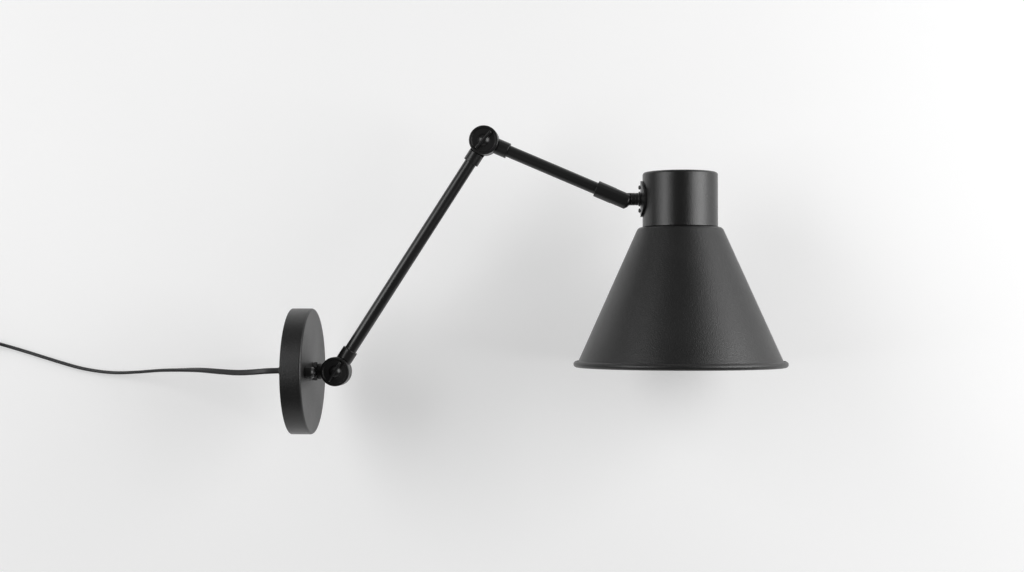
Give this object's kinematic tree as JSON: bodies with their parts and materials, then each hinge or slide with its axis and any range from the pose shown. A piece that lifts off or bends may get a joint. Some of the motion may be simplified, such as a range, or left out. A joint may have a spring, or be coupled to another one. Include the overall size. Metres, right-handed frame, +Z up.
{
  "type": "swing arm wall sconce",
  "caption": "Wall lamp with a round wall plate, a two-part jointed arm with clamp knobs, a cup and a conical shade with a rolled rim, on a mains cord with a plug.",
  "frame": {"origin": "centre of the mounting bracket's flat back face, which lies on the wall", "axes": "+Z up, +X straight out of the wall, +Y to the left of someone facing the wall"},
  "size_m": [0.9801, 0.2051, 0.298],
  "materials": {
    "black_powder": "fine satin powder coat",
    "black_satin": "smoother satin powder coat",
    "black_gloss": "semi-gloss paint",
    "zinc_steel": "zinc plated",
    "nickel": "nickel plated",
    "brass": "plain",
    "bakelite": "moulded gloss",
    "black_plastic": "fine moulded grain",
    "cord_sheath": "flexible sheath",
    "white_plastic": "moulded",
    "opal_plastic": "frosted diffuser",
    "fibre": "pressed fibre"
  },
  "bodies": {
    "wall_mount": {"wall_plate": "black_powder", "mounting_bracket": "zinc_steel", "cover_screw_near": "black_gloss", "cover_screw_far": "black_gloss", "cord_gland": "black_plastic", "terminal_block": "white_plastic", "terminal_screw_1": "brass", "terminal_screw_2": "brass", "mains_tail": "cord_sheath", "base_lead": "cord_sheath", "swivel_washer": "fibre", "cord_lead": "cord_sheath", "cord_mid": "cord_sheath", "cord_end": "cord_sheath", "cord_coil": "cord_sheath", "coil_tie": "black_plastic", "switch_body": "black_plastic", "plug_body": "black_plastic", "plug_pin_upper": "nickel", "plug_pin_lower": "nickel"},
    "base_swivel": {"base_knuckle": "black_gloss", "base_bolt": "zinc_steel", "neck_nut": "black_gloss", "stem_lock_nut": "zinc_steel"},
    "base_clamp": {"base_knob": "black_gloss"},
    "lower_arm": {"lower_arm_foot": "black_gloss", "base_washer": "fibre", "lower_arm_tube": "black_gloss", "lower_arm_lead": "cord_sheath", "lower_arm_head": "black_gloss", "elbow_bolt": "zinc_steel"},
    "elbow_clamp": {"elbow_knob": "black_gloss"},
    "upper_arm": {"upper_arm_foot": "black_gloss", "elbow_washer": "fibre", "upper_arm_tube": "black_gloss", "upper_arm_lead": "cord_sheath"},
    "head_swivel": {"swivel_sleeve": "black_gloss", "swivel_pin": "black_gloss"},
    "head": {"head_neck": "black_gloss", "cup_flange": "black_gloss", "flange_screw_upper": "black_gloss", "flange_screw_lower": "black_gloss", "holder_cup": "black_satin", "holder_bracket": "zinc_steel", "holder_nipple": "brass", "nipple_nut": "brass", "holder_lead": "cord_sheath", "lamp_holder": "bakelite", "shade_ring": "bakelite", "shade": "black_powder", "bulb_cap": "nickel", "bulb_body": "white_plastic", "bulb_diffuser": "opal_plastic"},
    "rocker": {"switch_rocker": "black_plastic"}
  },
  "joints": [
    {"name": "wall_swivel", "type": "hinge", "parent": "wall_mount", "child": "base_swivel", "pos_m": [0.02, 0, 0], "axis": [1, 0, 0], "range_deg": [-90, 90]},
    {"name": "base_hinge", "type": "hinge", "parent": "base_swivel", "child": "lower_arm", "pos_m": [0.0423, 0, 0], "axis": [0, 1, 0], "range_deg": [-32.9, 142.1]},
    {"name": "base_knob_turn", "type": "hinge", "parent": "base_swivel", "child": "base_clamp", "pos_m": [0.0423, 0, 0], "axis": [0, -1, 0], "range_deg": [0, 270]},
    {"name": "elbow_hinge", "type": "hinge", "parent": "lower_arm", "child": "upper_arm", "pos_m": [0.18374, 0, 0.21864], "axis": [0, 1, 0], "range_deg": [-150, 42]},
    {"name": "elbow_knob_turn", "type": "hinge", "parent": "lower_arm", "child": "elbow_clamp", "pos_m": [0.18374, 0, 0.21864], "axis": [0, -1, 0], "range_deg": [0, 270]},
    {"name": "head_roll", "type": "hinge", "parent": "upper_arm", "child": "head_swivel", "pos_m": [0.31315, 0, 0.16264], "axis": [0.9178, 0, -0.3971], "range_deg": [-90, 90]},
    {"name": "head_tilt", "type": "hinge", "parent": "head_swivel", "child": "head", "pos_m": [0.31315, 0, 0.16264], "axis": [0, 1, 0], "range_deg": [-60, 70]},
    {"name": "rocker_tilt", "type": "hinge", "parent": "wall_mount", "child": "rocker", "pos_m": [-0.378, 0.0877, 0.027], "axis": [0, 0, 1], "range_deg": [-14, 0]}
  ]
}
